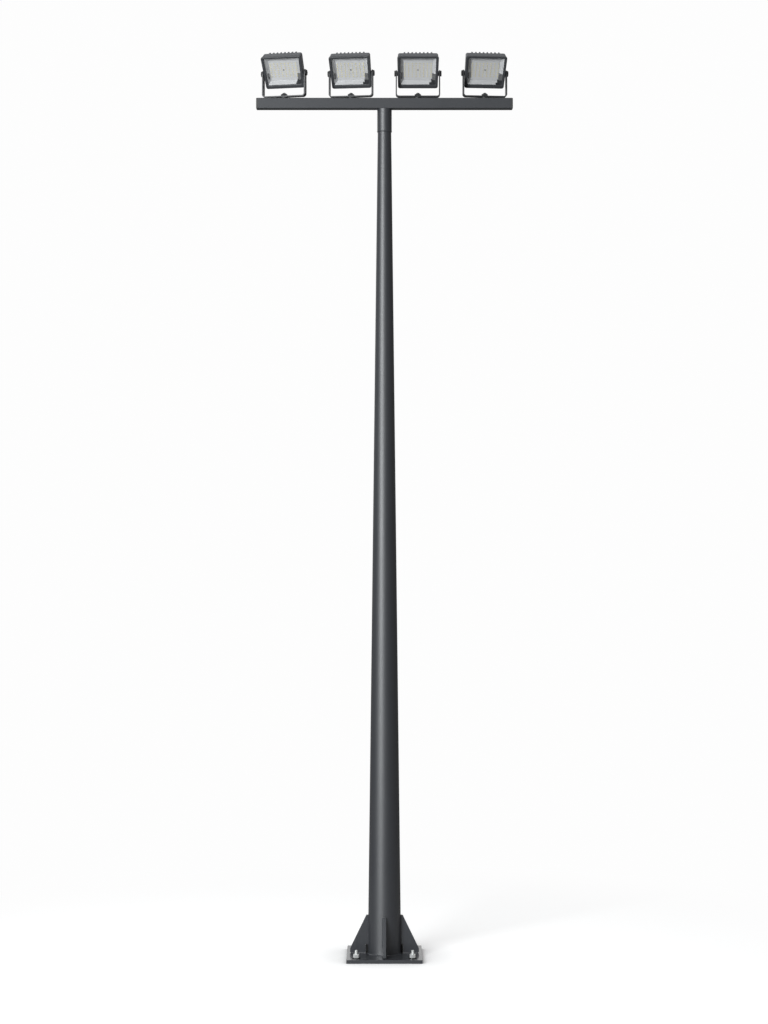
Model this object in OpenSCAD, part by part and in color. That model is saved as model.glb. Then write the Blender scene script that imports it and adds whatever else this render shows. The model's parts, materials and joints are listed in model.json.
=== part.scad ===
// Crossbar floodlight pole: a tapered steel mast on a gusseted base plate, with a square
// crossbar on its top sleeve that carries four floodlights, each in a swivelling yoke.
// Millimetres. Z is up, the lights face -Y, and the origin is the centre of the base
// plate's underside.

/* [Base plate] */
// Side of the square base plate
plate_side = 525; // [510:5:560]
// Thickness of the base plate
plate_t = 25; // [20:1:32]
// Distance between the centres of neighbouring anchor holes
anchor_pitch = 390; // [370:5:400]
// Diameter of the four anchor holes
anchor_hole_d = 26; // [20:1:30]
// Diameter of the cable hole under the mast
cable_hole_d = 110; // [80:5:130]

/* [Gussets] */
// Thickness of each gusset
gusset_t = 22; // [14:1:26]
// Height of the gussets above the base plate
gusset_h = 266; // [200:2:320]
// Width of a gusset's flat top, past the mast
gusset_top_w = 13; // [8:1:20]
// Distance from the gusset's foot to the edge of the plate
gusset_inset = 22; // [20:1:40]
// Height of the upright nose at the gusset's foot
gusset_nose_h = 32; // [20:1:40]
// Cut across the bottom corner of the nose
gusset_nose_cut = 8; // [4:1:16]
// Width of the weld cope beside the mast
cope_w = 14; // [8:1:18]
// Height of the weld cope beside the mast
cope_h = 62; // [30:1:80]

/* [Mast] */
// Height of the mast's top above the ground
mast_top_z = 5923; // [5000:2:7000]
// Diameter of the mast at its foot
mast_foot_d = 233; // [200:1:240]
// Diameter of the mast at its top
mast_top_d = 91; // [84:1:94]
// Wall of the mast
mast_wall = 4.5; // [3:0.5:6]

/* [Top sleeve] */
// Outside diameter of the sleeve
sleeve_d = 101.6; // [101:0.2:112]
// Length of the sleeve below the mast's top
sleeve_len = 152; // [100:2:160]
// Thickness of the plate that closes the sleeve
sleeve_cap_t = 6; // [4:1:10]
// Diameter of the cable hole through the sleeve's plate into the crossbar
riser_hole_d = 40; // [20:2:46]
// Chamfer round the sleeve's lower rim
sleeve_chamfer = 1.5; // [0.5:0.5:2]

/* [Crossbar] */
// Length of the crossbar's tube
bar_len = 1768; // [1700:2:1900]
// Height and depth of the crossbar's square tube
bar_side = 75; // [70:1:80]
// Wall of the crossbar's tube
bar_wall = 4; // [3:0.5:4.5]
// Rounding of the crossbar's long edges
bar_round = 6; // [5:0.5:8]
// Thickness of an end cap outside the tube
cap_t = 13; // [6:1:16]
// Depth of an end cap's plug inside the tube
cap_plug = 22; // [12:1:40]
// Wall of an end cap's hollow plug
plug_wall = 3; // [2:0.5:4]
// Rounding of an end cap's outer edge
cap_round = 6; // [3:0.5:6]

/* [Lights] */
// Distance between neighbouring lights
light_pitch = 468; // [440:2:480]
// Tilt of the faces below straight ahead
light_tilt = 35; // [0:1:60]
// Turn of light 1 about its bolt
pan_1 = -13; // [-15:1:15]
// Turn of light 2 about its bolt
pan_2 = -8; // [-15:1:15]
// Turn of light 3 about its bolt
pan_3 = 0; // [-15:1:15]
// Turn of light 4 about its bolt
pan_4 = 6; // [-15:1:15]

/* [Yoke] */
// Width of the yoke's steel strip
strip_w = 48; // [36:1:52]
// Thickness of the yoke's steel strip
strip_t = 8; // [4:0.5:9]
// Outer radius of the yoke's bends
strip_bend_r = 22; // [12:1:30]
// Height of the tilt axis above the underside of the strip
pivot_h = 166; // [158:1:190]
// Gap between an arm and the light's frame at the tilt axis
arm_gap = 5.2; // [5.2:0.1:12]
// Height of the spacer that lifts the yoke off the crossbar
spacer_h = 9.5; // [8.5:0.5:20]
// Diameter of the spacer's foot
spacer_foot_d = 60; // [50:1:66]
// Diameter of the spacer's hub
spacer_hub_d = 48; // [36:1:48]
// Thickness of the spacer's foot
spacer_foot_t = 6; // [4:0.5:8]

/* [Pivot bolt] */
// Diameter of the pivot bolt's shank
bolt_d = 16; // [12:1:20]
// Width across the flats of the bolt's head
bolt_af = 41; // [30:1:42]
// Height of the bolt's hexagon
bolt_hex_h = 13; // [8:0.5:16]
// Turn of the bolt's hexagon
bolt_turn = 8; // [0:1:30]
// Height of the dome on the bolt's head
bolt_dome_h = 10; // [6:0.5:14]
// Diameter of the dome on the bolt's head
bolt_dome_d = 32; // [28:1:36]
// Length of the bolt's tail inside the crossbar
bolt_tail = 12; // [8:1:20]

/* [Light frame] */
// Width of the light's frame at its top
frame_top_w = 292; // [286:1:296]
// Width of the light's frame at its bottom
frame_bottom_w = 279; // [274:1:284]
// Height of the light's frame
frame_h = 238; // [226:1:244]
// Height of the frame's centre above the tilt axis
frame_rise = 18; // [10:0.5:30]
// Distance from the tilt axis forward to the frame's face
face_out = 27; // [22:1:32]
// Depth of the frame
frame_depth = 14; // [12:1:18]
// Corner radius of the frame
frame_r = 14; // [8:1:18]
// Corner radius of the frame's opening
mouth_r = 5; // [2:0.5:8]
// Corner radius of the glass and of the pocket that holds it
glass_r = 7; // [4:0.5:10]
// Width of the frame's side rails
rail_side_w = 19; // [15:1:24]
// Width of the frame's top rail
rail_top_w = 14; // [12:1:20]
// Width of the frame's bottom rail
rail_bottom_w = 29; // [20:1:32]
// Thickness of the lip in front of the glass
lip_t = 3; // [2:0.5:4]
// Overlap of the lip on the glass
lip_lap = 7; // [5:0.5:8]
// Thickness of the glass
glass_t = 4; // [3:0.5:5]

/* [Light housing] */
// Depth of the housing behind the frame
housing_depth = 60; // [44:1:64]
// Step from the frame's edge in to the housing's front edge
housing_step = 2; // [1:0.5:5]
// Draft of the housing's sides from front to back
housing_draft = 3; // [0:0.5:8]
// Draft of the housing's top and bottom from front to back
housing_end_draft = 1; // [0:0.5:4]
// Depth of the hollow for the lamp tray
cavity_depth = 21; // [16:1:30]
// Number of cooling fins
fin_count = 8; // [4:1:9]
// Distance between neighbouring fins
fin_pitch = 27; // [22:1:28]
// Depth of the fins
fin_depth = 18; // [10:1:24]
// Thickness of a fin at its root
fin_root_t = 14; // [10:0.5:16]
// Thickness of a fin at its crest
fin_crest_t = 8; // [4:0.5:9.5]
// Rounding of a fin's upper corner
fin_round = 5; // [3:1:8]
// Height of the bare band below the fins
fin_bare_h = 51; // [40:1:60]

/* [Lamp tray] */
// Slope of the tray's sides from its mouth in to its floor
tray_slope = 22; // [10:1:26]
// Thickness of the tray's floor
tray_floor_t = 3; // [2:0.5:5]
// Corner radius of the tray's hollow
tray_r = 3; // [1:0.5:6]
// Clearance round the tray and the glass
tray_clear = 0.5; // [0.3:0.1:1]

/* [Knobs] */
// Diameter of a side knob
knob_d = 40; // [36:1:48]
// Thickness of a side knob
knob_t = 9.5; // [8:0.5:16]
// Number of finger scallops round a knob
knob_lobes = 8; // [5:1:12]
// Diameter of the scallops
knob_scallop_d = 10; // [6:1:12]
// Depth of the scallops
knob_scallop_in = 3; // [2:0.5:3]
// Diameter of a knob's screw
knob_screw_d = 10; // [8:1:12]
// Depth of a knob's screw in the housing's boss
knob_screw_in = 12; // [8:1:14]
// Diameter of the boss between the housing and the arm
boss_d = 34; // [24:1:38]

/* [Cable gland] */
// Width across the flats of the gland
gland_af = 24; // [20:1:27]
// Thickness of the gland's hexagon
gland_hex_t = 7; // [5:1:9]
// Diameter of the gland's cap nut
gland_cap_d = 21; // [18:1:22]
// Length of the gland's cap nut
gland_cap_len = 17; // [12:1:22]
// Length of the cone at the cap nut's end
gland_cone_len = 4; // [2:1:6]
// Diameter of the cone's end
gland_end_d = 13; // [8:1:16]

/* [Clearances] */
// Radial clearance of a turning shank in its hole
shank_clear = 0.08; // [0.03:0.01:0.1]
// Gap at faces that slide over each other
slide_gap = 0.2; // [0.1:0.05:0.3]
// Gap between the mast and what is welded round it
weld_gap = 0.2; // [0.1:0.05:0.3]
// Clearance of an end cap's plug in the tube
plug_clear = 0.3; // [0.2:0.1:0.5]

/* [Hidden] */

$fn = 96;
hull_fn = 32;
// Overlap of the shapes that are cut or joined
cut = 1;
// Thickness of a face that a hull starts from
leaf = 0.01;
light_count = 4;

// Colours
steel_grey = "#56585d";
housing_grey = "#4a4b4f";
near_black = "#232427";
tray_grey = "#bdbdbb";
clear_glass = "#dfe6ea";

// The mast is a straight cone, so its radius follows from the height
function mast_r(z) =
  mast_foot_d / 2 + (mast_top_d - mast_foot_d) / 2 * (z - plate_t) / (mast_top_z - plate_t);

// Heights and places
gusset_reach = plate_side / 2 - gusset_inset;
sleeve_low_z = mast_top_z - sleeve_len;
bar_low_z = mast_top_z + sleeve_cap_t;
bar_top_z = bar_low_z + bar_side;
bore_side = bar_side - 2 * bar_wall;
bore_round = bar_round - bar_wall;
strip_low_z = bar_top_z + spacer_h;
pivot_z = strip_low_z + pivot_h;
shank_foot_z = bar_top_z - bar_wall - bolt_tail;
light_pan = [pan_1, pan_2, pan_3, pan_4];
function light_x(i) = (i - (light_count + 1) / 2) * light_pitch;

// Frame widths at the tilt axis, and what follows from them
frame_low = frame_rise - frame_h / 2;
frame_axis_w = frame_bottom_w - (frame_top_w - frame_bottom_w) * frame_low / frame_h;
arm_in = frame_axis_w / 2 + arm_gap;
arm_out = arm_in + strip_t;
hole_r = bolt_d / 2 + shank_clear;
knob_hole_r = knob_screw_d / 2 + shank_clear;
screw_foot = arm_in - slide_gap - knob_screw_in;

// Depths along the light, from its face (negative) to its back
lip_y = -face_out + lip_t;
frame_back_y = -face_out + frame_depth;
housing_back_y = frame_back_y + housing_depth;
cavity_y = frame_back_y + cavity_depth;
glass_back_y = lip_y + glass_t;
housing_axis_half = frame_axis_w / 2 - housing_step - housing_draft;

// Points of an upright outline with slanted sides and round corners. inset moves every
// side inwards, and side, low and top move the sides, the bottom and the top further.
arc_steps = 8;
function corner(c, r, from, to) =
  [for (k = [0:arc_steps]) let (a = from + (to - from) * k / arc_steps)
    [c[0] + r * cos(a), c[1] + r * sin(a)]];
function outline(inset = 0, side = 0, low = 0, top = 0, r = frame_r) =
  let (
    slant = (frame_top_w - frame_bottom_w) / 2 / frame_h,
    z0 = frame_low + inset + low,
    z1 = frame_low + frame_h - inset - top,
    lean = atan(slant),
    half = frame_bottom_w / 2 - inset - side,
    x0 = half + slant * (z0 - frame_low),
    x1 = half + slant * (z1 - frame_low),
    q = max(r, 0.5),
    right = concat(
      corner([x0 + slant * q - q / cos(lean), z0 + q], q, -90, -lean),
      corner([x1 - slant * q - q / cos(lean), z1 - q], q, -lean, 90)
    )
  )
  concat(right, [for (k = [len(right) - 1:-1:0]) [-right[k][0], right[k][1]]]);

// A slab of the outline between two depths
module slab(y0, y1, points) {
  translate([0, y1, 0])
    rotate([90, 0, 0])
      linear_extrude(height = y1 - y0)
        polygon(points);
}

// The places of the four lights: a yoke's own frame, then the tilted light's frame
module at_bolt(i) {
  translate([light_x(i), 0, 0])
    rotate([0, 0, light_pan[i - 1]])
      children();
}
module at_light(i) {
  at_bolt(i)
    translate([0, 0, pivot_z])
      rotate([light_tilt, 0, 0])
        children();
}

module base_plate() {
  color(steel_grey)
    difference() {
      translate([-plate_side / 2, -plate_side / 2, 0])
        cube([plate_side, plate_side, plate_t]);
      translate([0, 0, -cut])
        cylinder(d = cable_hole_d, h = plate_t + 2 * cut);
      for (x = [-1, 1], y = [-1, 1])
        translate([x * anchor_pitch / 2, y * anchor_pitch / 2, -cut])
          cylinder(d = anchor_hole_d, h = plate_t + 2 * cut);
    }
}

// One gusset, standing towards +X: its inner edge follows the mast
module gusset() {
  top_x = mast_r(plate_t + gusset_h) + gusset_top_w;
  cope_x = mast_r(plate_t) + weld_gap + cope_w;
  color(steel_grey)
    difference() {
      translate([0, gusset_t / 2, plate_t])
        rotate([90, 0, 0])
          linear_extrude(height = gusset_t)
            polygon([
              [0, 0],
              [gusset_reach - gusset_nose_cut, 0],
              [gusset_reach, gusset_nose_cut],
              [gusset_reach, gusset_nose_h],
              [top_x, gusset_h],
              [0, gusset_h]
            ]);
      // room for the mast
      translate([0, 0, plate_t - cut])
        cylinder(
          r1 = mast_r(plate_t - cut) + weld_gap,
          r2 = mast_r(plate_t + gusset_h + cut) + weld_gap,
          h = gusset_h + 2 * cut
        );
      // weld cope
      translate([0, -gusset_t / 2 - cut, plate_t - cut])
        cube([cope_x, gusset_t + 2 * cut, cope_h + cut]);
    }
}
module gusset_right() { gusset(); }
module gusset_back() { rotate([0, 0, 90]) gusset(); }
module gusset_left() { rotate([0, 0, 180]) gusset(); }
module gusset_front() { rotate([0, 0, 270]) gusset(); }

module mast_shaft() {
  color(steel_grey)
    rotate_extrude()
      polygon([
        [mast_r(plate_t) - mast_wall, plate_t],
        [mast_r(plate_t), plate_t],
        [mast_r(mast_top_z), mast_top_z],
        [mast_r(mast_top_z) - mast_wall, mast_top_z]
      ]);
}

// A collar over the mast's end, closed by a plate that the crossbar is welded to
module top_sleeve() {
  color(steel_grey)
    rotate_extrude()
      polygon([
        [mast_r(sleeve_low_z) + weld_gap, sleeve_low_z],
        [sleeve_d / 2 - sleeve_chamfer, sleeve_low_z],
        [sleeve_d / 2, sleeve_low_z + sleeve_chamfer],
        [sleeve_d / 2, bar_low_z],
        [riser_hole_d / 2, bar_low_z],
        [riser_hole_d / 2, mast_top_z],
        [mast_r(mast_top_z) + weld_gap, mast_top_z]
      ]);
}

// A square bar with round edges on the crossbar's axis, between two places along X
module round_bar(x0, x1, side, r) {
  centre = side / 2 - r;
  translate([x0, 0, bar_low_z + bar_side / 2])
    rotate([90, 0, 90])
      linear_extrude(height = x1 - x0)
        union() {
          square([2 * centre, side], center = true);
          square([side, 2 * centre], center = true);
          for (y = [-1, 1], z = [-1, 1])
            translate([y * centre, z * centre])
              circle(r = r);
        }
}

module crossbar() {
  color(steel_grey)
    difference() {
      round_bar(-bar_len / 2, bar_len / 2, bar_side, bar_round);
      round_bar(-bar_len / 2 - cut, bar_len / 2 + cut, bore_side, bore_round);
      translate([0, 0, bar_low_z - cut])
        cylinder(d = riser_hole_d, h = bar_wall + 2 * cut);
      for (i = [1:light_count])
        translate([light_x(i), 0, bar_top_z - bar_wall - cut])
          cylinder(d = bolt_d, h = bar_wall + 2 * cut);
    }
}

// An end cap towards +X: a cover with a round outer edge, on a hollow square plug
module end_cap() {
  face_x = bar_len / 2;
  plug_x = face_x - cap_plug;
  plug_side = bore_side - 2 * plug_clear;
  ball = bar_side / 2 - cap_round;
  color(near_black) {
    hull() {
      round_bar(face_x, face_x + leaf, bar_side, bar_round, $fn = hull_fn);
      for (y = [-ball, ball], z = [-ball, ball])
        translate([face_x + cap_t - cap_round, y, bar_low_z + bar_side / 2 + z])
          sphere(r = cap_round, $fn = hull_fn);
    }
    difference() {
      round_bar(plug_x, face_x + cut, plug_side, bore_round);
      round_bar(plug_x - cut, face_x - plug_wall, plug_side - 2 * plug_wall, bore_round);
    }
  }
}
module end_cap_right() { end_cap(); }
module end_cap_left() { mirror([1, 0, 0]) end_cap(); }

// Flanged spacers under the yokes
module yoke_spacers() {
  color(near_black)
    for (i = [1:light_count])
      at_bolt(i)
        translate([0, 0, bar_top_z])
          difference() {
            union() {
              cylinder(d = spacer_foot_d, h = spacer_foot_t);
              cylinder(d = spacer_hub_d, h = spacer_h - slide_gap);
            }
            translate([0, 0, -cut])
              cylinder(d = bolt_d, h = spacer_h + 2 * cut);
          }
}

// The bolt that a yoke turns about
module pivot_bolt(i) {
  head_z = strip_low_z + strip_t + slide_gap;
  dome_r = (pow(bolt_dome_d / 2, 2) + pow(bolt_dome_h, 2)) / (2 * bolt_dome_h);
  color(near_black)
    at_bolt(i) {
      translate([0, 0, shank_foot_z])
        cylinder(d = bolt_d, h = head_z - shank_foot_z + cut);
      translate([0, 0, head_z])
        rotate([0, 0, bolt_turn])
          cylinder(d = bolt_af / cos(30), h = bolt_hex_h, $fn = 6);
      translate([0, 0, head_z + bolt_hex_h])
        intersection() {
          translate([0, 0, bolt_dome_h - dome_r])
            sphere(r = dome_r);
          translate([0, 0, -cut])
            cylinder(d = bolt_dome_d, h = bolt_dome_h + 2 * cut);
        }
    }
}
module pivot_bolt_1() { pivot_bolt(1); }
module pivot_bolt_2() { pivot_bolt(2); }
module pivot_bolt_3() { pivot_bolt(3); }
module pivot_bolt_4() { pivot_bolt(4); }

// A square-topped U with round lower corners, open above
module u_profile(half, low, r, high) {
  translate([-half, low + r])
    square([2 * half, high - low - r]);
  translate([-half + r, low])
    square([2 * (half - r), high - low]);
  for (x = [-1, 1])
    translate([x * (half - r), low + r])
      circle(r = r);
}

// A strip bent into a U, drilled for the pivot bolt and for the two knobs
module yoke(i) {
  top_h = pivot_h + strip_w / 2;
  color(near_black)
    at_bolt(i)
      translate([0, 0, strip_low_z])
        difference() {
          intersection() {
            translate([0, strip_w / 2, 0])
              rotate([90, 0, 0])
                linear_extrude(height = strip_w)
                  difference() {
                    u_profile(arm_out, 0, strip_bend_r, top_h);
                    u_profile(arm_in, strip_t, strip_bend_r - strip_t, top_h + cut);
                  }
            // arms with round tops
            translate([-arm_out - cut, 0, 0])
              rotate([90, 0, 90])
                linear_extrude(height = 2 * (arm_out + cut)) {
                  translate([-strip_w / 2, -cut])
                    square([strip_w, pivot_h + cut]);
                  translate([0, pivot_h])
                    circle(d = strip_w);
                }
          }
          translate([0, 0, -cut])
            cylinder(r = hole_r, h = strip_t + 2 * cut);
          translate([-arm_out - cut, 0, pivot_h])
            rotate([0, 90, 0])
              cylinder(r = knob_hole_r, h = 2 * (arm_out + cut));
        }
}
module yoke_1() { yoke(1); }
module yoke_2() { yoke(2); }
module yoke_3() { yoke(3); }
module yoke_4() { yoke(4); }

// One cooling fin, upright, with a round upper corner
module fin() {
  low_z = frame_low + fin_bare_h;
  top_z = frame_low + frame_h - housing_step - housing_end_draft;
  back_y = housing_back_y + fin_depth;
  intersection() {
    translate([0, 0, low_z])
      linear_extrude(height = top_z - low_z)
        polygon([
          [-fin_root_t / 2, housing_back_y - cut],
          [fin_root_t / 2, housing_back_y - cut],
          [fin_crest_t / 2, back_y],
          [-fin_crest_t / 2, back_y]
        ]);
    translate([-fin_root_t, 0, 0])
      rotate([90, 0, 90])
        linear_extrude(height = 2 * fin_root_t)
          union() {
            translate([0, low_z - cut])
              square([back_y - fin_round, top_z - low_z + cut]);
            translate([0, low_z + fin_depth])
              square([back_y, top_z - fin_round - low_z - fin_depth]);
            polygon([
              [housing_back_y - cut, low_z],
              [housing_back_y, low_z],
              [back_y, low_z + fin_depth],
              [housing_back_y - cut, low_z + fin_depth]
            ]);
            translate([back_y - fin_round, top_z - fin_round])
              circle(r = fin_round);
          }
  }
}

// Cast housing with a hollow for the tray, fins on its back and a boss at each side
module housing(i) {
  pocket = outline(side = rail_side_w - lip_lap, low = rail_bottom_w - lip_lap,
    top = rail_top_w - lip_lap, r = glass_r);
  color(housing_grey)
    at_light(i)
      difference() {
        union() {
          hull() {
            slab(frame_back_y, frame_back_y + cut, outline(inset = housing_step));
            slab(housing_back_y - cut, housing_back_y,
              outline(inset = housing_step + housing_end_draft,
                side = housing_draft - housing_end_draft));
          }
          for (k = [0:fin_count - 1])
            translate([(k - (fin_count - 1) / 2) * fin_pitch, 0, 0])
              fin();
          for (x = [-1, 1])
            rotate([0, x * 90, 0])
              translate([0, 0, housing_axis_half - cut])
                cylinder(d = boss_d, h = arm_in - slide_gap - housing_axis_half + cut);
        }
        slab(frame_back_y - cut, cavity_y, pocket);
        // screw holes
        for (x = [-1, 1])
          rotate([0, x * 90, 0])
            translate([0, 0, screw_foot])
              cylinder(d = knob_screw_d, h = knob_screw_in + cut);
        // the bosses end at the frame's back
        translate([-arm_out, frame_back_y - 2 * boss_d, -boss_d])
          cube([2 * arm_out, 2 * boss_d, 2 * boss_d]);
      }
}
module housing_1() { housing(1); }
module housing_2() { housing(2); }
module housing_3() { housing(3); }
module housing_4() { housing(4); }

// Frame round the glass: a lip in front, and a pocket that holds the glass
module bezel(i) {
  color(near_black)
    at_light(i)
      difference() {
        slab(-face_out, frame_back_y, outline());
        slab(-face_out - cut, lip_y + cut,
          outline(side = rail_side_w, low = rail_bottom_w, top = rail_top_w, r = mouth_r));
        slab(lip_y, frame_back_y + cut,
          outline(side = rail_side_w - lip_lap, low = rail_bottom_w - lip_lap,
            top = rail_top_w - lip_lap, r = glass_r));
      }
}
module bezel_1() { bezel(1); }
module bezel_2() { bezel(2); }
module bezel_3() { bezel(3); }
module bezel_4() { bezel(4); }

// Outline of what fits the pocket behind the frame's opening
function pocket_fit(more = 0, r = glass_r) =
  outline(inset = tray_clear + more, side = rail_side_w - lip_lap,
    low = rail_bottom_w - lip_lap, top = rail_top_w - lip_lap, r = r);

module lens(i) {
  color(clear_glass, 0.35)
    at_light(i)
      slab(lip_y, glass_back_y, pocket_fit());
}
module lens_1() { lens(1); }
module lens_2() { lens(2); }
module lens_3() { lens(3); }
module lens_4() { lens(4); }

// Tray behind the glass: a flat rim, then sides that slope down to a flat floor
module led_tray(i) {
  floor_y = cavity_y - tray_floor_t;
  rim = lip_lap - tray_clear;
  color(tray_grey)
    at_light(i) {
      difference() {
        slab(glass_back_y, cavity_y, pocket_fit());
        hull() {
          slab(glass_back_y - cut, glass_back_y, pocket_fit(more = rim, r = tray_r));
          slab(floor_y - leaf, floor_y, pocket_fit(more = rim + tray_slope, r = tray_r));
        }
      }
    }
}
module led_tray_1() { led_tray(1); }
module led_tray_2() { led_tray(2); }
module led_tray_3() { led_tray(3); }
module led_tray_4() { led_tray(4); }

// A scalloped hand knob on its screw, towards +X of the light
module knob() {
  inner = arm_out + slide_gap;
  color(near_black)
    rotate([0, 90, 0]) {
      translate([0, 0, screw_foot])
        cylinder(d = knob_screw_d, h = inner - screw_foot + cut);
      translate([0, 0, inner])
        difference() {
          cylinder(d = knob_d, h = knob_t);
          for (k = [0:knob_lobes - 1])
            rotate([0, 0, (k + 0.5) * 360 / knob_lobes])
              translate([knob_d / 2 + knob_scallop_d / 2 - knob_scallop_in, 0, -cut])
                cylinder(d = knob_scallop_d, h = knob_t + 2 * cut);
        }
    }
}
module knob_right(i) { at_light(i) knob(); }
module knob_left(i) { at_light(i) mirror([1, 0, 0]) knob(); }
module knob_left_1() { knob_left(1); }
module knob_left_2() { knob_left(2); }
module knob_left_3() { knob_left(3); }
module knob_left_4() { knob_left(4); }
module knob_right_1() { knob_right(1); }
module knob_right_2() { knob_right(2); }
module knob_right_3() { knob_right(3); }
module knob_right_4() { knob_right(4); }

// Cable gland on the bare band at the housing's back, closed
module gland(i) {
  gland_z = frame_low + fin_bare_h / 2;
  color(near_black)
    at_light(i)
      translate([0, housing_back_y, gland_z])
        rotate([-90, 0, 0]) {
          cylinder(d = gland_af / cos(30), h = gland_hex_t, $fn = 6);
          translate([0, 0, gland_hex_t - cut])
            cylinder(d = gland_cap_d, h = gland_cap_len - gland_cone_len + cut);
          translate([0, 0, gland_hex_t + gland_cap_len - gland_cone_len])
            cylinder(d1 = gland_cap_d, d2 = gland_end_d, h = gland_cone_len);
        }
}
module gland_1() { gland(1); }
module gland_2() { gland(2); }
module gland_3() { gland(3); }
module gland_4() { gland(4); }

base_plate();
gusset_front();
gusset_back();
gusset_left();
gusset_right();
mast_shaft();
top_sleeve();
crossbar();
end_cap_left();
end_cap_right();
yoke_spacers();
pivot_bolt_1();
pivot_bolt_2();
pivot_bolt_3();
pivot_bolt_4();
yoke_1();
yoke_2();
yoke_3();
yoke_4();
housing_1();
housing_2();
housing_3();
housing_4();
bezel_1();
bezel_2();
bezel_3();
bezel_4();
lens_1();
lens_2();
lens_3();
lens_4();
led_tray_1();
led_tray_2();
led_tray_3();
led_tray_4();
knob_left_1();
knob_left_2();
knob_left_3();
knob_left_4();
knob_right_1();
knob_right_2();
knob_right_3();
knob_right_4();
gland_1();
gland_2();
gland_3();
gland_4();
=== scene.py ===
"""Crossbar floodlight pole: the finish and the fine pieces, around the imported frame.

Metres. Z is up, the lights face -Y, and the origin is under the middle of the base plate.
A light's own frame has its origin on the tilt axis: X to its right, -Y out of its glass, Z up."""
import json
import math

import bmesh
import bpy
from mathutils import Matrix, Vector


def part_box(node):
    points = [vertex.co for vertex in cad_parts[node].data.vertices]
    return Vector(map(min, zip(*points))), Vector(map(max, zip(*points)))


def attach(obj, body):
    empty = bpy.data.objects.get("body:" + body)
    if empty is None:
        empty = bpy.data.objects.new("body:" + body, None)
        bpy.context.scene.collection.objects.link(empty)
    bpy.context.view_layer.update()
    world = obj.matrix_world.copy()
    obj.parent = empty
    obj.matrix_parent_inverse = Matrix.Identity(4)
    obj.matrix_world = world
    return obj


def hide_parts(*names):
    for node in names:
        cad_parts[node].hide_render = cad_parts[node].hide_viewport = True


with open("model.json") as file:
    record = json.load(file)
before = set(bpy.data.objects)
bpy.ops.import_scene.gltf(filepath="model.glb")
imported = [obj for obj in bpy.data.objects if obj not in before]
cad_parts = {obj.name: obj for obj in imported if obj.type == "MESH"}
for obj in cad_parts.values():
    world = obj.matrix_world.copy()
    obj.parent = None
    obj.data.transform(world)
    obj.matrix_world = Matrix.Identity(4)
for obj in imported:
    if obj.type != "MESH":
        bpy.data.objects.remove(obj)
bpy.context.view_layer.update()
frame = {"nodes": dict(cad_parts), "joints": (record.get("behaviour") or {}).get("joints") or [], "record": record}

MM = 0.001
LIGHTS = (1, 2, 3, 4)
SIDES = {"left": -1, "right": 1}
joints = {joint["name"]: joint for joint in frame["joints"]}
mounts = {mount["name"]: mount for mount in frame["record"]["mounts"]}
slots = {part["node"]: part["material_slot"] for part in frame["record"]["subparts"]}


# ---------------------------------------------------------------- camera and studio

CAMERA_BACK = 15.64
CAMERA_HEIGHT = 3.11
CAMERA_SIDE = -0.0035
LENS = 78.54
SENSOR = 36.0
PALE = 0.984  # the white of the backdrop and of the far floor
ROOM = 0.165  # the dim side of the room, as reflections show it
BACKDROP = (-0.3, 0.88, 0.35)  # the way towards the backdrop


def aim(thing, target):
    """Turns a lamp or a camera to look at a point."""
    thing.rotation_euler = (Vector(target) - thing.location).to_track_quat("-Z", "Y").to_euler()


def add_camera():
    """A level camera in front of the pole, a little above its middle."""
    camera = bpy.data.objects.new("camera", bpy.data.cameras.new("camera"))
    bpy.context.scene.collection.objects.link(camera)
    camera.location = (CAMERA_SIDE, -CAMERA_BACK, CAMERA_HEIGHT)
    camera.rotation_euler = (math.radians(90), 0, 0)
    camera.data.sensor_width = SENSOR
    camera.data.lens = LENS
    bpy.context.scene.camera = camera


def add_lamp(name, place, target, width, height, power, colour=(1, 1, 1)):
    """A soft rectangular lamp."""
    lamp = bpy.data.lights.new(name, "AREA")
    lamp.color = colour
    lamp.shape = "RECTANGLE"
    lamp.size = width
    lamp.size_y = height
    lamp.energy = power
    holder = bpy.data.objects.new(name, lamp)
    bpy.context.scene.collection.objects.link(holder)
    holder.location = place
    aim(holder, target)


# ---------------------------------------------------------------- shader sockets


class Value:
    """A socket of a material's nodes. Sums and products of it add Math nodes."""

    def __init__(self, tree, socket):
        self.tree = tree
        self.socket = socket

    def node(self, kind, settings=None, inputs=None, out=0):
        """Adds a shader node: its settings first, then the values or links of its sockets."""
        new = self.tree.nodes.new("ShaderNode" + kind)
        for name, value in (settings or {}).items():
            if name == "stops":
                ramp = new.color_ramp.elements
                while len(ramp) < len(value):
                    ramp.new(0.5)
                for element, (place, colour) in zip(ramp, value):
                    element.position = place
                    element.color = colour
            else:
                setattr(new, name, value)
        for name, value in (inputs or {}).items():
            if isinstance(value, Value):
                self.tree.links.new(value.socket, new.inputs[name])
            else:
                new.inputs[name].default_value = value
        return Value(self.tree, new.outputs[out])

    def math(self, operation, first, second):
        """Adds a Math node of two values."""
        return self.node("Math", {"operation": operation}, {0: first, 1: second})

    def __add__(self, other):
        return self.math("ADD", self, other)

    def __radd__(self, other):
        return self.math("ADD", other, self)

    def __sub__(self, other):
        return self.math("SUBTRACT", self, other)

    def __rsub__(self, other):
        return self.math("SUBTRACT", other, self)

    def __mul__(self, other):
        return self.math("MULTIPLY", self, other)

    def __rmul__(self, other):
        return self.math("MULTIPLY", other, self)

    def __gt__(self, other):
        return self.math("GREATER_THAN", self, other)


def grey(level, tint=0.0):
    """A near-neutral colour: tint above 0 is bluer."""
    return (level * (1 - tint), level * (1 - tint * 0.4), level * (1 + tint), 1.0)


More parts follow.
